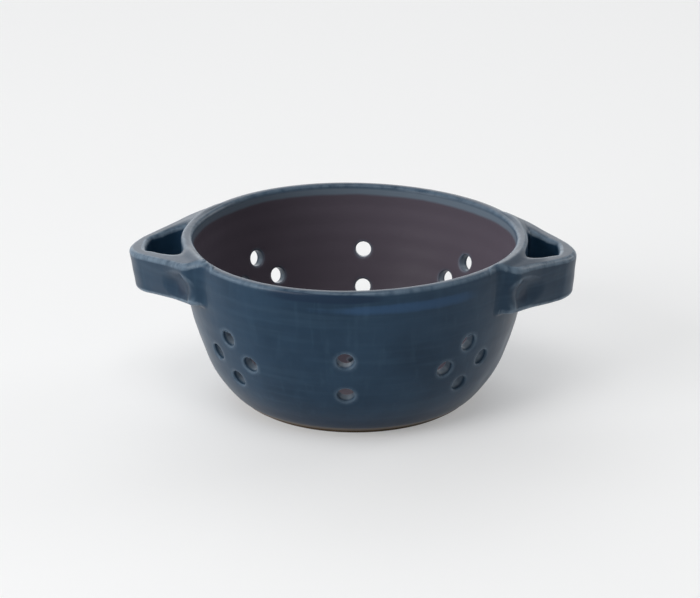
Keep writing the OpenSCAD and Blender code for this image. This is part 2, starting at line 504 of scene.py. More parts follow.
class NodeDesk:
    """Lays out the nodes of one material or of the world."""

    def __init__(self, tree: bpy.types.NodeTree) -> None:
        """Starts with an empty tree.

        Args:
            tree: Node tree of the material or the world.
        """
        self.tree = tree
        tree.nodes.clear()
        self.place = self.add("ShaderNodeTexCoord")

    def add(self, kind: str, sockets: dict | None = None, **settings: object) -> bpy.types.Node:
        """Adds one node.

        Args:
            kind: The node's type.
            sockets: Values or links for its inputs, by name or number.
            **settings: The node's own settings.

        Returns:
            The node.
        """
        node = self.tree.nodes.new(kind)
        for name, value in settings.items():
            setattr(node, name, value)
        for key, value in (sockets or {}).items():
            if isinstance(value, Socket):
                self.tree.links.new(value, node.inputs[key])
            else:
                node.inputs[key].default_value = value
        return node

    def noise(self, size: float, detail: float = 4.0, stretch: Step = (1.0, 1.0, 1.0)) -> Socket:
        """Cloudy noise in the piece's own space.

        Args:
            size: Size of a cloud in millimetres.
            detail: Octaves of finer clouds.
            stretch: How much longer the clouds are along each axis.

        Returns:
            The noise from 0 to 1.
        """
        rough, scale = 0.55, [1.0 / s for s in stretch]
        mapping = self.add("ShaderNodeMapping", {"Vector": self.place.outputs["Object"], "Scale": scale})
        sockets = {"Vector": mapping.outputs[0], "Scale": 1.0 / (size * MM), "Detail": detail}
        sockets["Roughness"] = rough
        return self.add("ShaderNodeTexNoise", sockets).outputs[0]

    def ramp(self, value: Socket, low: float, high: float, top: float = 1.0) -> Socket:
        """Smooth step of a value.

        Args:
            value: What is stepped.
            low: Value that gives 0.
            high: Value that gives the top.
            top: Highest result.

        Returns:
            The step.
        """
        sockets = {"Value": value, "From Min": low, "From Max": high, "To Min": 0.0, "To Max": top}
        return self.add("ShaderNodeMapRange", sockets, interpolation_type="SMOOTHSTEP").outputs[0]

    def math(self, operation: str, a: object, b: object = 0.0) -> Socket:
        """Sum, product or the like of two values."""
        return self.add("ShaderNodeMath", {0: a, 1: b}, operation=operation).outputs[0]

    def mix(self, share: object, a: object, b: object) -> Socket:
        """Blends two colours, each a link or red, green and blue.

        Args:
            share: Share of the second colour.
            a: The first colour.
            b: The second colour.

        Returns:
            The blend.
        """
        colours = [c if isinstance(c, Socket) else (*c, 1.0) for c in (a, b)]
        sockets = {0: share, 6: colours[0], 7: colours[1]}
        return self.add("ShaderNodeMix", sockets, data_type="RGBA").outputs[2]

    def attribute(self, name: str) -> Socket:
        """A value that the piece's mesh carries."""
        return self.add("ShaderNodeAttribute", attribute_name=name).outputs["Fac"]

    def height(self) -> Socket:
        """Height above the table in metres."""
        return self.add("ShaderNodeSeparateXYZ", {0: self.place.outputs["Object"]}).outputs[2]

    def bump(self, height: Socket, depth: float, below: object = None) -> Socket:
        """Normal of a fine relief.

        Args:
            height: Relief from 0 to 1.
            depth: Depth of the relief in millimetres.
            below: Normal of a coarser relief that this one lies on.

        Returns:
            The normal.
        """
        sockets = {"Height": height, "Distance": depth * MM, "Strength": 1.0}
        if below is not None:
            sockets["Normal"] = below
        return self.add("ShaderNodeBump", sockets).outputs[0]

    def finish(self, shader: Socket, output: str = "ShaderNodeOutputMaterial") -> None:
        """Links a shader to the output."""
        self.add(output, {"Surface": shader})


@dataclass(frozen=True)
class SlateGlaze:
    """Satin slate-blue glaze: streaked by its run, pale where it thins over edges, with painted sheen on the
    lip and edges, plum inside the bowl, and painted shade towards the foot and under the front of the lip.

    A step holds the values at which a smooth rise starts and ends, and its height.
    """

    name: str = "slate_glaze"
    body: Colour = (0.0170, 0.0430, 0.0785)
    deep: Colour = (0.0100, 0.0295, 0.0570)
    haze: Colour = (0.0310, 0.0660, 0.1060)
    # The pale and lip colours are glaze that runs thin, made lighter still as painted sheen on the lip and
    # the edges.
    pale_and_sheen: Colour = (0.185, 0.252, 0.320)
    lip: Colour = (0.158, 0.200, 0.246)
    pool: Colour = (0.006, 0.020, 0.046)
    cobalt: Colour = (0.028, 0.075, 0.160)
    plum: Colour = (0.0920, 0.0770, 0.0970)
    plum_light: Colour = (0.1030, 0.0870, 0.1090)
    clay: Colour = (0.0840, 0.0580, 0.0360)
    bare_z: float = 3.35
    foot_z: float = 14.0
    holes_z: float = 36.0
    hole_ring: float = 0.50
    ring_fade: float = 5.0
    cloud_size: float = 26.0
    run_size: float = 3.2
    run_stretch: Step = (1.0, 1.0, 7.0)
    throw_size: float = 5.0
    throw_stretch: Step = (9.0, 9.0, 0.55)
    streak_detail: float = 3.0
    body_step: Step = (0.30, 0.70, 1.0)
    throw_step: Step = (0.45, 0.75, 0.30)
    run_step: Step = (0.52, 0.80, 0.35)
    shade_and_pool_step: Step = (-0.1, -1.0, 0.85)
    cobalt_step: Step = (0.85, 1.65, 0.6)
    cobalt_clouds: float = 0.7
    cobalt_run: float = 0.4
    lip_step: Step = (-1.0, -0.45, 0.85)
    plum_step: Step = (0.50, 1.10, 1.0)
    plum_clouds: float = 0.8
    edge_step: Step = (0.08, 0.46, 0.60)
    edge_run_step: Step = (0.15, 0.60, 1.0)
    edge_thick_step: Step = (-0.9, -0.1, 1.0)
    hollow_step: Step = (-0.04, -0.42, 0.70)
    # Share of the painted shade towards the foot.
    foot_shade_share: float = 0.85
    soft_size: float = 7.0
    soft_depth: float = 0.09
    peel_size: float = 1.6
    peel_depth: float = 0.010
    relief_detail: float = 2.0
    roughness: float = 0.32
    ior: float = 1.26

    def material(self) -> bpy.types.Material:
        """Makes the glaze.

        Returns:
            The material.
        """
        material = bpy.data.materials.new(self.name)
        material.use_nodes = True
        desk = NodeDesk(material.node_tree)
        clouds = desk.noise(self.cloud_size)
        run = desk.noise(self.run_size, self.streak_detail, self.run_stretch)
        throw = desk.noise(self.throw_size, self.streak_detail, self.throw_stretch)
        colour = self._outside(desk, clouds, run, throw)
        plum = desk.mix(clouds, self.plum, self.plum_light)
        colour = desk.mix(self._inside_share(desk, clouds), colour, plum)
        bend = desk.attribute("bend")
        # Paler where the glaze thins over edges; on the handles this also paints highlight on the edges and
        # tips.
        thin_and_highlight = desk.math("MULTIPLY", desk.ramp(bend, *self.edge_step), desk.ramp(run, *self.edge_run_step))
        thin_and_highlight = desk.math("MULTIPLY", thin_and_highlight, desk.ramp(desk.attribute("thick"), *self.edge_thick_step))
        ring_top = (self.holes_z + self.ring_fade) * MM
        above = desk.ramp(desk.height(), self.holes_z * MM, ring_top, 1.0 - self.hole_ring)
        thin_and_highlight = desk.math("MULTIPLY", thin_and_highlight, desk.math("ADD", above, self.hole_ring))
        colour = desk.mix(thin_and_highlight, colour, self.pale_and_sheen)
        colour = desk.mix(desk.ramp(bend, *self.hollow_step), colour, self.pool)
        bare = desk.ramp(desk.height(), self.bare_z * MM + 0.1 * MM, self.bare_z * MM - 0.2 * MM)
        colour = desk.mix(bare, colour, self.clay)
        soft = desk.bump(desk.noise(self.soft_size, self.relief_detail), self.soft_depth)
        peel = desk.bump(desk.noise(self.peel_size, self.relief_detail), self.peel_depth, soft)
        sockets = {"Base Color": colour, "Roughness": self.roughness, "IOR": self.ior, "Normal": peel}
        desk.finish(desk.add("ShaderNodeBsdfPrincipled", sockets).outputs[0])
        return material

    def _outside(self, desk: NodeDesk, clouds: Socket, run: Socket, throw: Socket) -> Socket:
        """Blue of the outside, with painted shade towards the foot and under the front of the lip.

        Args:
            desk: Nodes of the material.
            clouds: Broad variation of the glaze's thickness.
            run: Streaks down the wall.
            throw: Faint rings round the wall.

        Returns:
            The colour.
        """
        colour = desk.mix(desk.ramp(clouds, *self.body_step), self.deep, self.body)
        colour = desk.mix(desk.ramp(throw, *self.throw_step), colour, self.haze)
        colour = desk.mix(desk.ramp(run, *self.run_step), colour, self.haze)
        # Painted shade: darker towards the foot, where the floor contact shades the wall.
        low = desk.ramp(desk.height(), self.foot_z * MM, self.bare_z * MM, self.foot_shade_share)
        colour = desk.mix(low, colour, self.pool)
        thick = desk.attribute("thick")
        # Darker where thick is negative: painted shade under the front of the lip on the bowl, and glaze
        # pooled in the thumb marks on the handles.
        colour = desk.mix(desk.ramp(thick, *self.shade_and_pool_step), colour, self.pool)
        clouded = desk.math("MULTIPLY", clouds, self.cobalt_clouds)
        uneven = desk.math("ADD", clouded, desk.math("MULTIPLY", run, self.cobalt_run))
        cobalt = desk.ramp(desk.math("ADD", thick, uneven), *self.cobalt_step)
        colour = desk.mix(cobalt, colour, self.cobalt)
        # Paler lip top: thin glaze and painted sheen.
        return desk.mix(desk.ramp(desk.attribute("inside"), *self.lip_step), colour, self.lip)

    def _inside_share(self, desk: NodeDesk, clouds: Socket) -> Socket:
        """Share of the plum glaze, with an uneven edge under the lip."""
        edge = desk.math("ADD", desk.attribute("inside"), desk.math("MULTIPLY", clouds, self.plum_clouds))
        return desk.ramp(edge, *self.plum_step)


@dataclass(frozen=True)
class BareClay:
    """Unglazed brown stoneware with a fine grain and iron specks."""

    name: str = "bare_stoneware"
    body: Colour = (0.0840, 0.0580, 0.0360)
    dark: Colour = (0.0600, 0.0415, 0.0260)
    speck: Colour = (0.020, 0.015, 0.012)
    grain_size: float = 0.5
    grain_detail: float = 3.0
    grain_depth: float = 0.05
    patch_size: float = 9.0
    patch_step: Step = (0.30, 0.70, 1.0)
    speck_step: Step = (0.60, 0.72, 0.7)
    roughness: float = 0.82
    ior: float = 1.20

    def material(self) -> bpy.types.Material:
        """Makes the clay.

        Returns:
            The material.
        """
        material = bpy.data.materials.new(self.name)
        material.use_nodes = True
        desk = NodeDesk(material.node_tree)
        grain = desk.noise(self.grain_size, self.grain_detail)
        patches = desk.ramp(desk.noise(self.patch_size), *self.patch_step)
        colour = desk.mix(patches, self.dark, self.body)
        colour = desk.mix(desk.ramp(grain, *self.speck_step), colour, self.speck)
        relief = desk.bump(grain, self.grain_depth)
        sockets = {"Base Color": colour, "Roughness": self.roughness, "IOR": self.ior, "Normal": relief}
        desk.finish(desk.add("ShaderNodeBsdfPrincipled", sockets).outputs[0])
        return material


def measure_bend(mesh: bpy.types.Mesh, passes: int = 3) -> np.ndarray:
    """How sharply a mesh bends at each vertex, which sets how thick glaze lies there.

    Args:
        mesh: Mesh in metres.
        passes: Rounds of smoothing along the edges.

    Returns:
        Bend per millimetre, positive on edges and negative in hollows.
    """
    least_square, most_bend = 1e-4, 2.0
    points = np.empty(len(mesh.vertices) * 3)
    mesh.vertices.foreach_get("co", points)
    normals = np.empty(len(mesh.vertices) * 3, np.float32)
    mesh.vertex_normals.foreach_get("vector", normals)
    ends = np.empty(len(mesh.edges) * 2, np.int32)
    mesh.edges.foreach_get("vertices", ends)
    points, normals, ends = points.reshape(-1, 3) / MM, normals.reshape(-1, 3), ends.reshape(-1, 2)
    here = np.concatenate([ends[:, 0], ends[:, 1]])
    there = np.concatenate([ends[:, 1], ends[:, 0]])
    span = points[here] - points[there]
    square = np.maximum((span**2).sum(1), least_square)
    bends = np.clip(2.0 * (span * normals[here]).sum(1) / square, -most_bend, most_bend)
    count = np.maximum(np.bincount(here, minlength=len(points)), 1)
    bend = np.bincount(here, bends, len(points)) / count
    for _ in range(passes):
        bend = (bend + np.bincount(here, bend[there], len(points)) / count) / 2.0
    return bend


class Piece:
    """One finished piece of the bowl as an object that stands for a CAD node."""

    crisp = radians(50)

    def __init__(
        self,
        name: str,
        node: str,
        bm: Shape,
        coat: Coat,
        material: bpy.types.Material,
        thin_and_highlight: np.ndarray | float = 1.0,
    ) -> None:
        """Makes the object, shades it smooth and sets it on the frame.

        Args:
            name: Name of the piece.
            node: CAD node that it stands for.
            bm: Its mesh in millimetres, which is freed.
            coat: The record's material slot; not used.
            material: Its finish.
            thin_and_highlight: How much more than on the bowl the glaze thins over edges, for all or for each
                vertex; on the handles the extra paleness is painted highlight.
        """
        bmesh.ops.recalc_face_normals(bm, faces=bm.faces)
        bmesh.ops.scale(bm, vec=(MM, MM, MM), verts=bm.verts)
        for face in bm.faces:
            face.smooth = True
        for edge in bm.edges:
            edge.smooth = len(edge.link_faces) != 2 or edge.calc_face_angle() < self.crisp
        self.mesh = bpy.data.meshes.new(name)
        bm.to_mesh(self.mesh)
        bm.free()
        self.object = bpy.data.objects.new(name, self.mesh)
        bpy.context.scene.collection.objects.link(self.object)
        self.mesh.materials.append(material)
        self.carry("bend", thin_and_highlight * measure_bend(self.mesh))
        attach(self.object, BODY)
        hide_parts(node)
        LOG.info("%s: %d faces for %s", name, len(self.mesh.polygons), node)

    def points(self) -> np.ndarray:
        """Gives the places of the vertices.

        Returns:
            The places in millimetres, one row each.
        """
        points = np.empty(len(self.mesh.vertices) * 3)
        self.mesh.vertices.foreach_get("co", points)
        return points.reshape(-1, 3) / MM

    def carry(self, name: str, values: np.ndarray) -> None:
        """Stores one value for each vertex."""
        layer = self.mesh.attributes.new(name, "FLOAT", "POINT")
        layer.data.foreach_set("value", values.astype(np.float32))


@dataclass(frozen=True)
class DrainHole:
    """One punched hole, with its middle on each side of the clay and the way it goes through."""

    mouths: tuple[Vector, Vector]
    axis: Vector
    radius: float


@dataclass
class ColanderBowl:
    """The thrown bowl with its punched holes."""

    wall: ThrownWall
    potter: Potter
    steps: int = 360
    hole_r: float = 3.05
    diamond_z: float = 28.0
    diamond_rise: float = 8.4
    diamond_spread: float = 9.0
    pair_rise: float = 7.3
    floor_hole_r: float = 9.0
    floor_holes: int = 4
    block: int = 3
    settle_r: float = 6.0
    soft_edge: float = 0.75
    edge_steps: int = 5
    give: float = 0.36
    near_blocks: int = 3
    settle_rounds: int = 4
    level_z: float = 0.9
    pole_r: float = 0.01
    inside_skin: float = 0.9
    inside_gain: float = 2.4
    inside_fade: float = 2.2
    run_fade: float = 0.4
    run_flat: float = 1.5
    runs_and_rim_shade: tuple[tuple[float, float, float, float, float], ...] = (
        (-66.0, 30.0, 52.5, 59.0, 1.0),
        (-95.0, 16.0, 52.5, 58.0, 0.6),
        # The negative amount paints shade: the dark band under the front of the lip.
        (-97.0, 26.0, 57.0, 62.2, -1.3),
        (70.0, 32.0, 50.0, 59.0, 1.0),
        (118.0, 20.0, 51.0, 60.0, 0.8),
    )

    def build(self, material: bpy.types.Material) -> Piece:
        """Shapes the bowl and dresses it.

        Args:
            material: The glaze.

        Returns:
            The piece.
        """
        bm = bmesh.new()
        section = self.wall.section()
        turned(bm, section, self.steps, closed=False)
        grid = self._grid(bm)
        edges = [edge for hole in self.holes() for edge in self._punch(bm, grid, section, hole)]
        soften(bm, edges, self.soft_edge, self.edge_steps, clamp=False)
        poles = [v for v in bm.verts if hypot(v.co.x, v.co.y) < self.pole_r]
        bmesh.ops.remove_doubles(bm, verts=poles, dist=2 * self.pole_r)
        inside = self._inside(coords(list(bm.verts)))
        self.potter.press(bm)
        piece = Piece("colander_bowl", "bowl_body", bm, Coat.GLAZE, material)
        piece.carry("inside", inside)
        piece.carry("thick", self._runs_and_rim_shade(piece.points()))
        return piece

    def holes(self) -> list[DrainHole]:
        """Lays out the drain holes: diamonds and pairs by turns round the wall and a ring in the floor.

        Returns:
            The holes.
        """
        holes = []
        for quarter in range(4):
            pair, diamond = quarter * pi / 2, (quarter + 0.5) * pi / 2
            spread = self.diamond_spread / self.wall.radius(self.diamond_z)
            for side in (-1, 1):
                holes.append(self._wall_hole(pair, self.diamond_z + side * self.pair_rise))
                holes.append(self._wall_hole(diamond, self.diamond_z + side * self.diamond_rise))
                holes.append(self._wall_hole(diamond + side * spread, self.diamond_z))
        for index in range(self.floor_holes):
            turn = tau * index / self.floor_holes
            out = Vector((self.floor_hole_r * cos(turn), self.floor_hole_r * sin(turn), 0.0))
            mouths = out + Z_AXIS * self.wall.recess_z, out + Z_AXIS * self.wall.floor_z
            holes.append(DrainHole(mouths, Z_AXIS, self.hole_r))
        return holes

    def _wall_hole(self, turn: float, z: float) -> DrainHole:
        """Lays out a hole square to the wall.

        Args:
            turn: Its angle round the bowl.
            z: Its height on the outside.

        Returns:
            The hole.
        """
        dip = self.wall.dip(z)
        out = Vector((cos(dip) * cos(turn), cos(dip) * sin(turn), -sin(dip)))
        r = self.wall.radius(z)
        middle = Vector((r * cos(turn), r * sin(turn), z))
        return DrainHole((middle, middle - self.wall.wall_t * out), out, self.hole_r)

    def _grid(self, bm: Shape) -> dict[tuple[int, int], Vert]:
        """Finds the vertices of the turned bowl by their row in the section and their step round the axis.

        Args:
            bm: Mesh of the bowl.

        Returns:
            The vertices by row and step.
        """
        row = bm.verts.layers.int["row"]
        grid: dict[tuple[int, int], Vert] = {}
        for vert in bm.verts:
            step = round(atan2(vert.co.y, vert.co.x) / tau * self.steps) % self.steps
            grid[(vert[row], step)] = vert
        return grid

    def _punch(
        self,
        bm: Shape,
        grid: dict[tuple[int, int], Vert],
        section: list[Point],
        hole: DrainHole,
    ) -> list[bmesh.types.BMEdge]:
        """Opens one hole: rounds the grid about it on both sides, takes out the middle and joins the sides.

        Args:
            bm: Mesh of the bowl.
            grid: Its vertices by row and step.
            section: The bowl's section.
            hole: The hole.

        Returns:
            The edges of its two mouths.
        """
        edges, rows = [], self.near_blocks * self.block
        for side, middle in enumerate(hole.mouths):
            r = hypot(middle.x, middle.y)
            row = int(np.argmin([hypot(p[0] - r, p[1] - middle.z) for p in section]))
            step = round(atan2(middle.y, middle.x) / tau * self.steps)
            cell = r * tau / self.steps
            half = max(self.block, round(hole.radius / cell))
            reach = ceil(self.settle_r / cell) + 2
            near = {
                (a, b): grid[(row + a, (step + b) % self.steps)]
                for a in range(-rows, rows + 1)
                for b in range(-reach, reach + 1)
                if (row + a, (step + b) % self.steps) in grid
            }
            edge = half * self.block
            ring = [key for key in near if max(abs(key[0]) * half, abs(key[1]) * self.block) == edge]
            core = {near[key] for key in near if abs(key[0]) <= self.block and abs(key[1]) <= half}
            self._round(near, ring, half, hole, middle, side)
            faces = {face for vert in core for face in vert.link_faces if all(v in core for v in face.verts)}
            bmesh.ops.delete(bm, geom=list(faces), context="FACES")
            for key in [k for k in near if abs(k[0]) < self.block and abs(k[1]) < half]:
                del grid[(row + key[0], (step + key[1]) % self.steps)]
            rim = {near[key] for key in ring}
            edges += list({e for v in rim for e in v.link_edges if e.is_boundary and e.other_vert(v) in rim})
        bmesh.ops.bridge_loops(bm, edges=edges)
        return edges

    def _round(
        self,
        near: dict[tuple[int, int], Vert],
        ring: list[tuple[int, int]],
        half: int,
        hole: DrainHole,
        middle: Vector,
        side: int,
    ) -> None:
        """Moves the grid about a mouth so that its ring is a circle and the rest gives way evenly.

        Args:
            near: Vertices about the mouth by row and step from its middle.
            ring: Those on the edge of the part that is taken out.
            half: Half the width of that part in steps.
            hole: The hole.
            middle: The mouth's middle.
            side: 0 on the outside or underside, 1 on the inside.
        """
        across = Z_AXIS.cross(Vector((middle.x, middle.y, 0.0))).normalized()
        along = hole.axis.cross(across)
        axes = np.array([across[:], along[:], hole.axis[:]])
        ring_local = (coords([near[key] for key in ring]) - np.array(middle)) @ axes.T
        angle = np.arctan2(ring_local[:, 1], ring_local[:, 0])
        order = np.argsort(angle)
        keys = [k for k in near if abs(k[0]) >= self.block or abs(k[1]) >= half]
        verts = [near[key] for key in keys]
        local = (coords(verts) - np.array(middle)) @ axes.T
        far, turn = np.hypot(local[:, 0], local[:, 1]), np.arctan2(local[:, 1], local[:, 0])
        edge = np.interp(turn, angle[order], np.hypot(*ring_local[order, :2].T), period=tau)
        share = np.clip((far - edge) / (self.settle_r - edge), 0.0, 1.0) ** self.give
        new = np.where(far < self.settle_r, hole.radius + (self.settle_r - hole.radius) * share, far)
        local[:, 0], local[:, 1] = new * np.cos(turn), new * np.sin(turn)
        points = local @ axes + np.array(middle)
        if abs(hole.axis.z) < self.level_z:
            points = self._settle(points, np.array(hole.axis), side)
        place(verts, points)

    def _settle(self, points: np.ndarray, axis: np.ndarray, side: int) -> np.ndarray:
        """Slides points along a hole's axis onto one side of the wall.

        Args:
            points: Points, one row each.
            axis: Direction of the slide.
            side: 0 for the outside, 1 for the inside.

        Returns:
            The points on the wall.
        """
        field = self.wall.inside if side else self.wall.outside
        step = 1e-3
        for _ in range(self.settle_rounds):
            off = field(points)
            slope = (field(points + step * axis) - off) / step
            points = points - (off / slope)[:, None] * axis
        return points

    def _inside(self, points: np.ndarray) -> np.ndarray:
        """Finds how far each point is on the inside of the bowl.

        Args:
            points: Points, one row each.

        Returns:
            One value for each point, from -1 outside to 1 well below the lip inside.
        """
        depth = self.inside_skin - np.abs(self.wall.inside(points))
        floor = np.hypot(points[:, 0], points[:, 1]) < self.wall.fillet_c[0]
        depth = np.where(floor, points[:, 2] - self.wall.floor_z + self.inside_skin, depth)
        under_lip = self.wall.lip_c[1] - self.inside_skin - points[:, 2]
        return np.clip(np.minimum(depth * self.inside_gain, under_lip) / self.inside_fade, -1.0, 1.0)

    def _runs_and_rim_shade(self, points: np.ndarray) -> np.ndarray:
        """Finds where the glaze ran thick under the rim, and the band of painted shade under the front of the
        lip.

        Args:
            points: Points, one row each.

        Returns:
            One value for each point, towards 1 for cobalt and towards -1 for painted shade.
        """
        turn = np.degrees(np.arctan2(points[:, 1], points[:, 0]))
        thick = np.zeros(len(points))
        for middle, spread, low, high, amount in self.runs_and_rim_shade:
            off = np.abs((turn - middle + 180.0) % 360.0 - 180.0)
            soft = (high - low) * self.run_fade
            band = rise((points[:, 2] - low) / soft) * rise((high - points[:, 2]) / soft)
            thick += amount * band * rise(self.run_flat - self.run_flat * off / spread)
        return thick


@dataclass
class FootRing:
    """The bare clay ring that the bowl stands on, with the spigot that seats under the floor."""

    wall: ThrownWall
    width: float = 8.0
    spigot_w: float = 4.0
    steps: int = 240
    soft_edge: float = 0.35
    edge_steps: int = 3
    side_steps: int = 2
    sharp: float = radians(30)

    def build(self, material: bpy.types.Material) -> Piece:
        """Shapes the ring and dresses it.

        Args:
            material: The clay.

        Returns:
            The piece.
        """
        wall = self.wall
        inner = wall.foot_r - self.width
        foot_dip, bare_dip = wall.dip(0.0), wall.dip(wall.bare_h)
        section = [(wall.foot_r, 0.0)]
        section += arc(wall.belly_c, wall.belly_r, -foot_dip, -bare_dip, self.side_steps)
        section += [(inner + self.spigot_w, wall.bare_h), (inner + self.spigot_w, wall.recess_z)]
        section += [(inner, wall.recess_z), (inner, 0.0)]
        bm = bmesh.new()
        turned(bm, section, self.steps, closed=True)
        bmesh.ops.recalc_face_normals(bm, faces=bm.faces)
        edges = [edge for edge in bm.edges if edge.calc_face_angle() > self.sharp]
        soften(bm, edges, self.soft_edge, self.edge_steps)
        return Piece("foot_ring_clay", "foot_ring", bm, Coat.CLAY, material)


@dataclass(frozen=True)
class StrapEnd:
    """One end of a strap: which way it goes along Y and how it is pressed on the wall.

    The crease is the filling on the loop's outside, the corner the one on its inside.
    """

    way: int
    lap: float
    turn_out_r: float
    thick: float
    high: float
    thumb_at: float
    crease: float
    corner: float
    flare: float


@dataclass
class StrapHandle:
    """A strap of clay bent to a loop, its ends pressed on the wall with a thumb and smoothed in with slip.

    It is shaped on the right of the bowl and mirrored for the left.
    """

    wall: ThrownWall
    potter: Potter
    side: Side
    reach: float
    drop: float
    droop: float
    strap_h: float
    ends: tuple[StrapEnd, StrapEnd]
    tip_lift: float = 0.0
    strap_t: float = 5.8
    swell_l: float = 18.0
    edge_r: float = 1.7
    tip_r: float = 16.0
    stand_off: float = 2.2
    thumb_depth: float = 1.8
    thumb_short: float = 4.6
    thumb_long: float = 14.0
    thumb_half_h: float = 7.0
    thumb_low: float = 1.2
    thumb_flat: float = 1.45
    pool_r: float = 4.0
    pool_off: float = 3.2
    pool_low: float = 1.5
    pool_flat: float = 1.5
    flare_l: float = 9.0
    web: float = 1.3
    web_y: float = 24.0
    web_sink: float = 2.2
    web_fade_l: float = 8.0
    web_fade: float = 0.7
    under_blend: float = 1.8
    tip_swell: float = 0.45
    tip_swell_l: float = 7.0
    tip_hollow: float = 0.6
    tip_hollow_at: float = 9.0
    tip_hollow_l: float = 5.0
    tip_lean: float = 0.08
    tip_lean_l: float = 16.0
    rim_blend: float = 3.0
    rim_blend_low: float = 11.0
    rim_blend_rise: float = 9.0
    lip_blend_in: float = 4.2
    lip_blend_rise: float = 3.6
    least_blend: float = 0.05
    sink: float = 0.03
    root: float = 1.5
    pad_from: float = radians(3)
    pad_to: float = radians(47)
    pad_low: float = 38.5
    pad_top: float = 0.1
    pad_over: float = radians(165)
    core_low: float = 2.0
    core_high: float = 6.0
    core_over: float = 30.0
    core_steps: int = 240
    edge_steps: int = 6
    sweep_steps: int = 16
    cell: float = 0.42
    first_rounds: int = 8
    rounds: tuple[int, ...] = (8, 5, 5, 5)
    last_round: int = 6
    thin_and_highlight: float = 0.5
    thin_from: float = 0.5
    thin_rise: float = 2.0

    @cached_property
    def tip_x(self) -> float:
        """Distance from the bowl's axis to the middle of the tip's bend."""
        return self.wall.rim_r + self.reach - self.tip_r

    @cached_property
    def arm_a(self) -> float:
        """Angle of an arm's outward normal from the handle's middle."""
        return acos((self.wall.rim_r + self.stand_off - self.tip_r) / self.tip_x)

    @cached_property
    def bend_r(self) -> float:
        """Radius of the strap's middle at the tip."""
        return self.tip_r - self.strap_t / 2

    @cached_property
    def arm_start(self) -> np.ndarray:
        """Place from above where the bend runs into an arm."""
        return np.array([self.tip_x + self.bend_r * cos(self.arm_a), self.bend_r * sin(self.arm_a)])

    def turn_r(self, end: StrapEnd) -> float:
        """Radius of the strap's middle where an end turns into the wall."""
        return end.turn_out_r - end.thick / 2

    def arm_l(self, end: StrapEnd) -> float:
        """Finds the length of a straight arm.

        Args:
            end: The end that the arm leads to.

        Returns:
            The length.
        """
        off = self.wall.rim_r + self.stand_off - self.strap_t
        return self.tip_x * sin(self.arm_a) - sqrt(self.wall.rim_r**2 - off**2) + end.lap

    def turn_c(self, end: StrapEnd) -> np.ndarray:
        """Finds the middle, from above, of an end's turn into the wall.

        Args:
            end: The end, taken to be on the +Y side.

        Returns:
            The middle as X and Y.
        """
        out = np.array([cos(self.arm_a), sin(self.arm_a)])
        along = np.array([-sin(self.arm_a), cos(self.arm_a)])
        return self.arm_start + self.arm_l(end) * along - self.turn_r(end) * out

    def build(self, material: bpy.types.Material) -> Piece:
        """Shapes the handle and dresses it.

        Args:
            material: The glaze.

        Returns:
            The piece.
        """
        bm = bmesh.new()
        self._sweep(bm)
        bm = modified(bm, "BOOLEAN", self._core(), operation="DIFFERENCE", solver="EXACT")
        for end in self.ends:
            self._pad(bm, end.way)
        bm = modified(bm, "REMESH", mode="VOXEL", voxel_size=self.cell)
        self._settle(bm)
        points = coords(list(bm.verts))
        pooled = self._pooled(points)
        # Painted highlight: the handle's edges grow paler away from the wall, beyond what thin glaze gives.
        thin_and_highlight = 1.0 + self.thin_and_highlight * rise((self.wall.outside(points) - self.thin_from) / self.thin_rise)
        bmesh.ops.scale(bm, vec=(self.side.value, 1.0, 1.0), verts=bm.verts)
        self.potter.press(bm)
        name = self.side.name.lower()
        piece = Piece(f"{name}_strap_handle", f"{name}_handle", bm, Coat.GLAZE, material, thin_and_highlight)
        piece.carry("inside", np.full(len(pooled), -1.0))
        piece.carry("thick", pooled)
        return piece

    def _sweep(self, bm: Shape) -> None:
        """Sweeps the strap's section along the loop.

        Args:
            bm: Empty mesh to fill.
        """
        made = bmesh.ops.create_grid(bm, x_segments=1, y_segments=1, size=0.5)
        bmesh.ops.scale(bm, vec=(self.strap_t, self.strap_h, 1.0), verts=made["verts"])
        soften(bm, made["verts"], self.edge_r, self.edge_steps, Rounding.CORNERS)
        bmesh.ops.rotate(bm, verts=bm.verts, cent=(0, 0, 0), matrix=Matrix.Rotation(pi / 2, 3, "X"))
        middle = Vector((self.tip_x + self.bend_r, 0.0, -self.strap_h / 2))
        bmesh.ops.translate(bm, vec=middle, verts=bm.verts)
        bmesh.ops.delete(bm, geom=list(bm.faces), context="FACES_ONLY")
        tip = list(bm.verts) + list(bm.edges)
        for end in self.ends:
            way, turn = end.way, self.turn_c(end)
            arm = Vector((-sin(self.arm_a), way * cos(self.arm_a), 0.0)) * self.arm_l(end)
            bend_c, turn_c = (self.tip_x, 0.0, 0.0), (turn[0], way * turn[1], 0.0)
            ring = self._swept(bm, tip, cent=bend_c, angle=way * self.arm_a)
            ring = self._swept(bm, ring, dvec=arm / self.sweep_steps, angle=0.0)
            ring = self._swept(bm, ring, cent=turn_c, angle=way * pi / 2)
            bmesh.ops.edgeloop_fill(bm, edges=[e for e in ring if isinstance(e, bmesh.types.BMEdge)])
        bmesh.ops.recalc_face_normals(bm, faces=bm.faces)
        pivot = Vector((self.wall.rim_r, 0.0, 0.0))
        bmesh.ops.rotate(bm, verts=bm.verts, cent=pivot, matrix=Matrix.Rotation(self.droop, 3, "Y"))
        bmesh.ops.translate(bm, vec=Z_AXIS * (self.wall.rim_z - self.drop), verts=bm.verts)

    def _swept(self, bm: Shape, ring: list, **path: object) -> list:
        """Sweeps a ring along a path and gives the last ring."""
        return bmesh.ops.spin(bm, geom=ring, axis=Z_AXIS, steps=self.sweep_steps, **path)["geom_last"]

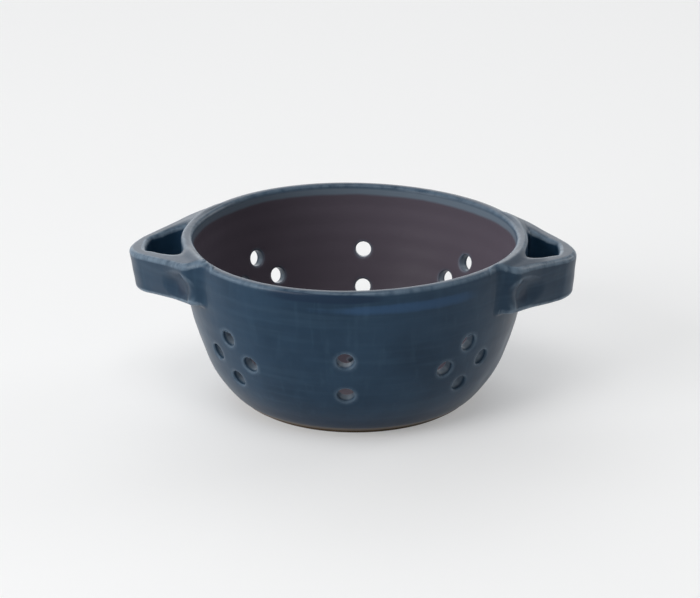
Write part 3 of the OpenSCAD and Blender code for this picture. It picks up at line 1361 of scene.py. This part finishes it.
    def _core(self) -> Shape:
        """Makes the bowl as a full solid a little under the wall's outside, to cut the strap's ends back to.

        Returns:
            Its mesh.
        """
        wall, side_rows = self.wall, 40
        low_dip, high_dip = wall.dip(wall.belly_h + self.core_low), wall.dip(wall.rim_z - self.core_high)
        top_z = wall.rim_z + self.core_over
        section = [(0.0, wall.belly_h)]
        section += arc(wall.flank_c, wall.flank_r - self.root, -low_dip, -high_dip, side_rows)
        section += [(wall.lip_c[0], wall.lip_c[1]), (wall.lip_c[0], top_z), (0.0, top_z)]
        core = bmesh.new()
        turned(core, section, self.core_steps, closed=False)
        bmesh.ops.remove_doubles(core, verts=core.verts, dist=1e-3)
        bmesh.ops.recalc_face_normals(core, faces=core.faces)
        return core

    def _pad(self, bm: Shape, way: int) -> None:
        """Adds the pad of slip, just under the wall's outside and the lip, that one end of the strap sits on.

        Args:
            bm: Mesh that takes the pad.
            way: 1 for the end on the +Y side, -1 for the other.
        """
        wall, over, low = self.wall, self.pad_over, -self.wall.dip(self.pad_low)
        top, under = self.pad_top, self.root + self.pad_top
        flank_rows, lip_rows, inner_rows, steps = 20, 16, 8, 60
        section = arc(wall.flank_c, wall.flank_r - top, low, 0.0, flank_rows)
        section += arc(wall.lip_c, wall.lip_r - top, 0.0, over, lip_rows)
        section += arc(wall.lip_c, wall.lip_r - under, over, 0.0, inner_rows)
        section += arc(wall.flank_c, wall.flank_r - under, 0.0, low, flank_rows)
        turn = Matrix.Rotation(way * self.pad_from, 3, "Z")
        chain = [bm.verts.new(turn @ Vector((r, 0.0, z))) for r, z in section]
        edges = [bm.edges.new(pair) for pair in zip(chain, chain[1:] + chain[:1])]
        angle = way * (self.pad_to - self.pad_from)
        spun = bmesh.ops.spin(bm, geom=chain + edges, cent=(0, 0, 0), axis=Z_AXIS, angle=angle, steps=steps)
        for ring in (edges, [e for e in spun["geom_last"] if isinstance(e, bmesh.types.BMEdge)]):
            bmesh.ops.edgeloop_fill(bm, edges=ring)
        bmesh.ops.recalc_face_normals(bm, faces=bm.faces)

    def _settle(self, bm: Shape) -> None:
        """Moves the skin onto the finished form and evens it out.

        Args:
            bm: Mesh of the skin.
        """
        verts = list(bm.verts)
        evenly = {"factor": 0.5, "use_axis_x": True, "use_axis_y": True, "use_axis_z": True}
        for _ in range(self.first_rounds):
            bmesh.ops.smooth_vert(bm, verts=verts, **evenly)
        for rounds in self.rounds:
            points = coords(verts)
            proud = self.wall.outside(points) > -self.root / 2
            points[proud] = self._onto_form(points[proud], rounds)
            place(verts, points)
            moved = [vert for vert, out in zip(verts, proud) if out]
            bmesh.ops.smooth_vert(bm, verts=moved, **evenly)
        points = coords(verts)
        proud = self.wall.outside(points) > -self.root / 2
        points[proud] = self._onto_form(points[proud], self.last_round)
        place(verts, points)

    def _onto_form(self, points: np.ndarray, rounds: int) -> np.ndarray:
        """Moves points onto the finished form.

        Args:
            points: Points, one row each.
            rounds: How many steps are taken.

        Returns:
            The points on the form.
        """
        step, least_steep, share, longest = 0.01, 0.05, 0.9, 1.5
        for _ in range(rounds):
            off = self._form(points)
            ways = step * np.eye(3)
            rises = [self._form(points + way) - self._form(points - way) for way in ways]
            slope = np.stack(rises, axis=1) / (2 * step)
            steep = np.maximum((slope**2).sum(1), least_steep)
            points = points - share * np.clip(off / steep, -longest, longest)[:, None] * slope
        return points

    def _form(self, points: np.ndarray) -> np.ndarray:
        """Distance to the strap and the wall, run together by the slip that fills the crease between them.

        Args:
            points: Points, one row each.

        Returns:
            One distance for each point.
        """
        strap = self._strap(points)[0]
        bowl = self.wall.outside(points) + self.sink
        r, z = np.hypot(points[:, 0], points[:, 1]), points[:, 2]
        strap = np.maximum(strap, self.wall.lip_c[0] - r)
        high = rise((z - self.wall.rim_z + self.rim_blend_low) / self.rim_blend_rise)
        past_web = rise((self.ends[1].way * points[:, 1] - self.web_y) / self.web_fade_l)
        fill = self.under_blend + (self.rim_blend - self.under_blend) * high
        fill = fill * (1.0 - self.web_fade * past_web)
        over_lip = rise((r - self.wall.rim_r + self.lip_blend_in) / self.lip_blend_rise)
        fill = np.maximum(fill * np.where(z > self.wall.lip_c[1], over_lip, 1.0), self.least_blend)
        return run_together(strap, bowl, fill)

    def _pooled(self, points: np.ndarray) -> np.ndarray:
        """Where glaze pools in the thumb marks, from 0 to -1."""
        _, out, pool = self._strap(points)
        return np.where(out > 0, -pool, 0.0)

    def _strap(self, points: np.ndarray) -> tuple[np.ndarray, np.ndarray, np.ndarray]:
        """Distance to the strap alone, thumb marks included.

        Args:
            points: Points, one row each.

        Returns:
            The distance, the distance out from the strap's middle and how much glaze pools there.
        """
        result = np.empty((3, len(points)))
        for end in self.ends:
            mine = points[:, 1] * end.way >= 0
            result[:, mine] = self._half(points[mine], end)
        return tuple(result)

    def _half(self, points: np.ndarray, end: StrapEnd) -> np.ndarray:
        """What _strap gives, for points on the side of one end.

        Args:
            points: Points, one row each.
            end: The end.

        Returns:
            Three rows.
        """
        wall, q = self.wall, self.droop
        lean_x, lean_z = points[:, 0] - wall.rim_r, points[:, 2] - (wall.rim_z - self.drop)
        x = wall.rim_r + lean_x * cos(q) - lean_z * sin(q)
        z = lean_x * sin(q) + lean_z * cos(q) + self.strap_h / 2
        along, out = self._unroll(x, np.abs(points[:, 1]), end)
        arm_end = self.bend_r * self.arm_a + self.arm_l(end)
        length = arm_end + self.turn_r(end) * pi / 2
        out = out + self.tip_lean * z * rise(1.0 - along / self.tip_lean_l)
        swell = rise((along - length + self.swell_l) / self.swell_l)
        half_t = (self.strap_t + (end.thick - self.strap_t) * swell) / 2
        half_t = half_t + self.tip_swell * rise(1.0 - along / self.tip_swell_l)
        half_h = (self.strap_h + (end.high - self.strap_h) * swell) / 2
        level = np.minimum(points[:, 2], wall.lip_c[1])
        to_wall = wall.outside(np.column_stack([points[:, :2], level]))
        flare = end.flare * rise(1.0 - to_wall / self.flare_l)
        lift = self.tip_lift * rise(1.0 - along / self.tip_lean_l)
        half_h = half_h + np.where(z > 0, flare, -lift)
        past = along - arm_end - end.thumb_at
        thumb = self._thumb(past, z)
        hollow = self.tip_hollow * rise(1.0 - np.abs(along - self.tip_hollow_at) / self.tip_hollow_l)
        face = half_t - np.where(out > 0, thumb, hollow)
        beside = np.abs(out) - face
        fill = end.crease + (end.corner - end.crease) * rise(0.5 - out / self.strap_t)
        sunk = to_wall + self.web_sink * rise(beside / fill)
        joined = np.maximum(run_together(beside, sunk, fill), beside - self.web * fill)
        over_t = joined + self.edge_r
        over_h = np.abs(z) - (half_h - self.edge_r)
        outer = np.hypot(np.maximum(over_t, 0.0), np.maximum(over_h, 0.0))
        distance = outer + np.minimum(np.maximum(over_t, over_h), 0.0) - self.edge_r
        from_pool = np.hypot(past + self.pool_off, z + self.thumb_low + self.pool_low)
        pool = rise(self.pool_flat - self.pool_flat * from_pool / self.pool_r)
        return np.stack([distance, out, pool])

    def _unroll(self, x: np.ndarray, y: np.ndarray, end: StrapEnd) -> tuple[np.ndarray, np.ndarray]:
        """Distance along half the strap from its tip, and distance out from its middle.

        Args:
            x: Distance from the bowl's axis along the handle's middle, from above.
            y: Distance from the handle's middle.
            end: The end of this half.

        Returns:
            The distance along and the distance out.
        """
        arm_l, turn_r, turn_c = self.arm_l(end), self.turn_r(end), self.turn_c(end)
        bend_a = np.arctan2(y, x - self.tip_x)
        in_bend = bend_a < self.arm_a
        dx, dy = x - self.arm_start[0], y - self.arm_start[1]
        arm_s = -dx * sin(self.arm_a) + dy * cos(self.arm_a)
        arm_u = dx * cos(self.arm_a) + dy * sin(self.arm_a)
        tx, ty = x - turn_c[0], y - turn_c[1]
        turn_a = np.clip(np.arctan2(ty, tx) - self.arm_a, 0.0, pi / 2)
        bend_l = self.bend_r * self.arm_a
        bend_s, bend_u = self.bend_r * bend_a, np.hypot(x - self.tip_x, y) - self.bend_r
        turn_s, turn_u = bend_l + arm_l + turn_r * turn_a, np.hypot(tx, ty) - turn_r
        in_turn = arm_s > arm_l
        along = np.where(in_bend, bend_s, np.where(in_turn, turn_s, bend_l + arm_s))
        return along, np.where(in_bend, bend_u, np.where(in_turn, turn_u, arm_u))

    def _thumb(self, past: np.ndarray, z: np.ndarray) -> np.ndarray:
        """Depth of the thumb mark: steep towards the strap's end and long towards its tip.

        Args:
            past: Distance along the strap past the middle of the mark.
            z: Height from the strap's middle.

        Returns:
            One depth for each point.
        """
        length = np.where(past > 0, self.thumb_short, self.thumb_long)
        far = np.hypot(past / length, (z + self.thumb_low) / self.thumb_half_h)
        return self.thumb_depth * rise(self.thumb_flat * (1.0 - far))


@dataclass(frozen=True)
class SoftLamp:
    """A square lamp that faces the bowl: its place and side in metres and its power in watts."""

    name: str
    where: tuple[float, float, float]
    size: float
    power: float


@dataclass(frozen=True)
class Studio:
    """Pale floor, soft light from the back and the left, and the camera at the photograph's angle."""

    image_w: int = 700
    focal_px: float = 2676.0
    distance: float = 1.0
    elevation: float = radians(20.38)
    turn: float = radians(3.35)
    target: tuple[float, float, float] = (-0.001887, -0.000110, 0.03637)
    paper: Colour = (0.887, 0.887, 0.887)
    floor_glow: float = 0.34
    floor_size: float = 6.0
    sensor: float = 36.0
    aim: tuple[float, float, float] = (0.0, 0.0, 0.03)
    room_towards: tuple[float, float, float] = (-0.30, 0.90, 0.25)
    room_step: Step = (0.40, 0.97, 1.30)
    room_base: float = 0.12
    room_tint: Colour = (0.96, 0.98, 1.0)
    lamps: tuple[SoftLamp, ...] = (
        SoftLamp("window_light", (-0.60, 3.00, 1.30), 2.6, 28.0),
        SoftLamp("left_light", (-2.70, 0.10, 1.20), 1.6, 17.0),
        SoftLamp("front_left_light", (-2.10, -1.80, 1.20), 1.6, 50.0),
        SoftLamp("top_light", (-0.10, -0.60, 1.60), 1.0, 9.5),
        SoftLamp("side_light", (2.00, 1.30, 0.90), 1.1, 13.0),
    )

    def set_up(self) -> None:
        """Makes the floor, the light and the camera."""
        bpy.context.scene.view_settings.view_transform = "Standard"
        self._camera()
        self._floor()
        self._world()
        for lamp in self.lamps:
            self._lamp(lamp)

    def _camera(self) -> None:
        """Camera at the photograph's viewing angle."""
        data = bpy.data.cameras.new("photo_camera")
        data.sensor_width, data.sensor_fit = self.sensor, "HORIZONTAL"
        data.lens = self.focal_px / self.image_w * self.sensor
        camera = bpy.data.objects.new("photo_camera", data)
        flat = cos(self.elevation)
        back = Vector((sin(self.turn) * flat, -cos(self.turn) * flat, sin(self.elevation)))
        camera.location = Vector(self.target) + back * self.distance
        camera.rotation_euler = back.to_track_quat("Z", "Y").to_euler()
        bpy.context.scene.collection.objects.link(camera)
        bpy.context.scene.camera = camera

    def _looked_at(self, desk: NodeDesk) -> Socket:
        """Finds where the backdrop is looked at, straight, in a reflection or through something clear.

        Args:
            desk: Node desk of the backdrop's material or world.

        Returns:
            Socket that is 1 there and 0 where the backdrop only gives light.
        """
        path = desk.add("ShaderNodeLightPath").outputs
        mirrored = desk.math("MAXIMUM", path["Is Glossy Ray"], path["Is Transmission Ray"])
        return desk.math("MAXIMUM", path["Is Camera Ray"], mirrored)

    def _floor(self) -> None:
        """Wide pale floor that keeps the bowl's shadow."""
        bm = bmesh.new()
        bmesh.ops.create_grid(bm, x_segments=1, y_segments=1, size=self.floor_size)
        mesh = bpy.data.meshes.new("studio_floor")
        bm.to_mesh(mesh)
        bm.free()
        floor = bpy.data.objects.new("studio_floor", mesh)
        bpy.context.scene.collection.objects.link(floor)
        material = bpy.data.materials.new("floor_paper")
        material.use_nodes = True
        desk = NodeDesk(material.node_tree)
        paper = desk.add("ShaderNodeBsdfDiffuse", {"Color": (*self.paper, 1.0)})
        glow = desk.add("ShaderNodeEmission", {"Color": (*self.paper, 1.0), "Strength": 1.0})
        seen = desk.math("MULTIPLY", self._looked_at(desk), self.floor_glow)
        blend = desk.add("ShaderNodeMixShader", {0: seen, 1: paper.outputs[0], 2: glow.outputs[0]})
        desk.finish(blend.outputs[0])
        mesh.materials.append(material)

    def _world(self) -> None:
        """Room light: bright at the back, dim on the camera's side, and paper white where it is looked at."""
        world = bpy.data.worlds.new("studio_room")
        bpy.context.scene.world = world
        world.use_nodes = True
        desk = NodeDesk(world.node_tree)
        towards = Vector(self.room_towards).normalized()
        sockets = {0: desk.place.outputs["Generated"], 1: tuple(towards)}
        facing = desk.add("ShaderNodeVectorMath", sockets, operation="DOT_PRODUCT").outputs["Value"]
        strength = desk.math("ADD", desk.ramp(facing, *self.room_step), self.room_base)
        room = desk.add("ShaderNodeBackground", {"Color": (*self.room_tint, 1.0), "Strength": strength})
        white = desk.add("ShaderNodeBackground", {"Color": (*self.paper, 1.0), "Strength": 1.0})
        seen = self._looked_at(desk)
        blend = desk.add("ShaderNodeMixShader", {0: seen, 1: room.outputs[0], 2: white.outputs[0]})
        desk.finish(blend.outputs[0], "ShaderNodeOutputWorld")

    def _lamp(self, lamp: SoftLamp) -> None:
        """Hangs one lamp.

        Args:
            lamp: The lamp.
        """
        data = bpy.data.lights.new(lamp.name, "AREA")
        data.size, data.energy = lamp.size, lamp.power
        hung = bpy.data.objects.new(lamp.name, data)
        hung.location = lamp.where
        hung.rotation_euler = (Vector(lamp.where) - Vector(self.aim)).to_track_quat("Z", "Y").to_euler()
        bpy.context.scene.collection.objects.link(hung)


def left_handle(wall: ThrownWall, potter: Potter) -> StrapHandle:
    """Lays out the left handle, which reaches further and droops more.

    Args:
        wall: The bowl's section.
        potter: The hand's unevenness.

    Returns:
        The handle.
    """
    front = StrapEnd(
        way=-1, lap=2.8, turn_out_r=7.0, thick=8.4, high=15.8,
        thumb_at=-2.2, crease=4.2, corner=7.0, flare=1.2,
    )
    back = StrapEnd(
        way=1, lap=-7.5, turn_out_r=22.0, thick=5.2, high=12.0,
        thumb_at=6.0, crease=3.0, corner=12.0, flare=0.5,
    )
    sizes = {"reach": 20.5, "drop": 2.55, "droop": radians(11.3), "strap_h": 15.7}
    return StrapHandle(wall, potter, Side.LEFT, ends=(front, back), **sizes)


def right_handle(wall: ThrownWall, potter: Potter) -> StrapHandle:
    """Lays out the right handle, which is higher and shorter, with a lifted tip.

    Args:
        wall: The bowl's section.
        potter: The hand's unevenness.

    Returns:
        The handle.
    """
    front = StrapEnd(
        way=-1, lap=3.4, turn_out_r=7.0, thick=8.4, high=17.3,
        thumb_at=-2.2, crease=3.8, corner=8.0, flare=1.0,
    )
    back = StrapEnd(
        way=1, lap=-7.0, turn_out_r=22.0, thick=5.4, high=13.0,
        thumb_at=6.0, crease=3.0, corner=10.0, flare=1.0,
    )
    sizes = {"reach": 18.5, "drop": 2.35, "droop": radians(8.6), "strap_h": 17.3, "tip_lift": 0.9}
    return StrapHandle(wall, potter, Side.RIGHT, ends=(front, back), **sizes)


def main() -> None:
    """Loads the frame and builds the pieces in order."""
    logging.basicConfig(level=logging.INFO, format="%(name)s: %(message)s")
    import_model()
    bowl_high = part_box("bowl_body")[1]
    wall = ThrownWall(rim_r=bowl_high.x / MM, rim_z=bowl_high.z / MM)
    potter = Potter(rim_z=wall.rim_z)
    glaze, clay = SlateGlaze().material(), BareClay().material()
    ColanderBowl(wall, potter).build(glaze)
    left_handle(wall, potter).build(glaze)
    right_handle(wall, potter).build(glaze)
    FootRing(wall).build(clay)
    Studio().set_up()


if __name__ == "__main__":
    main()
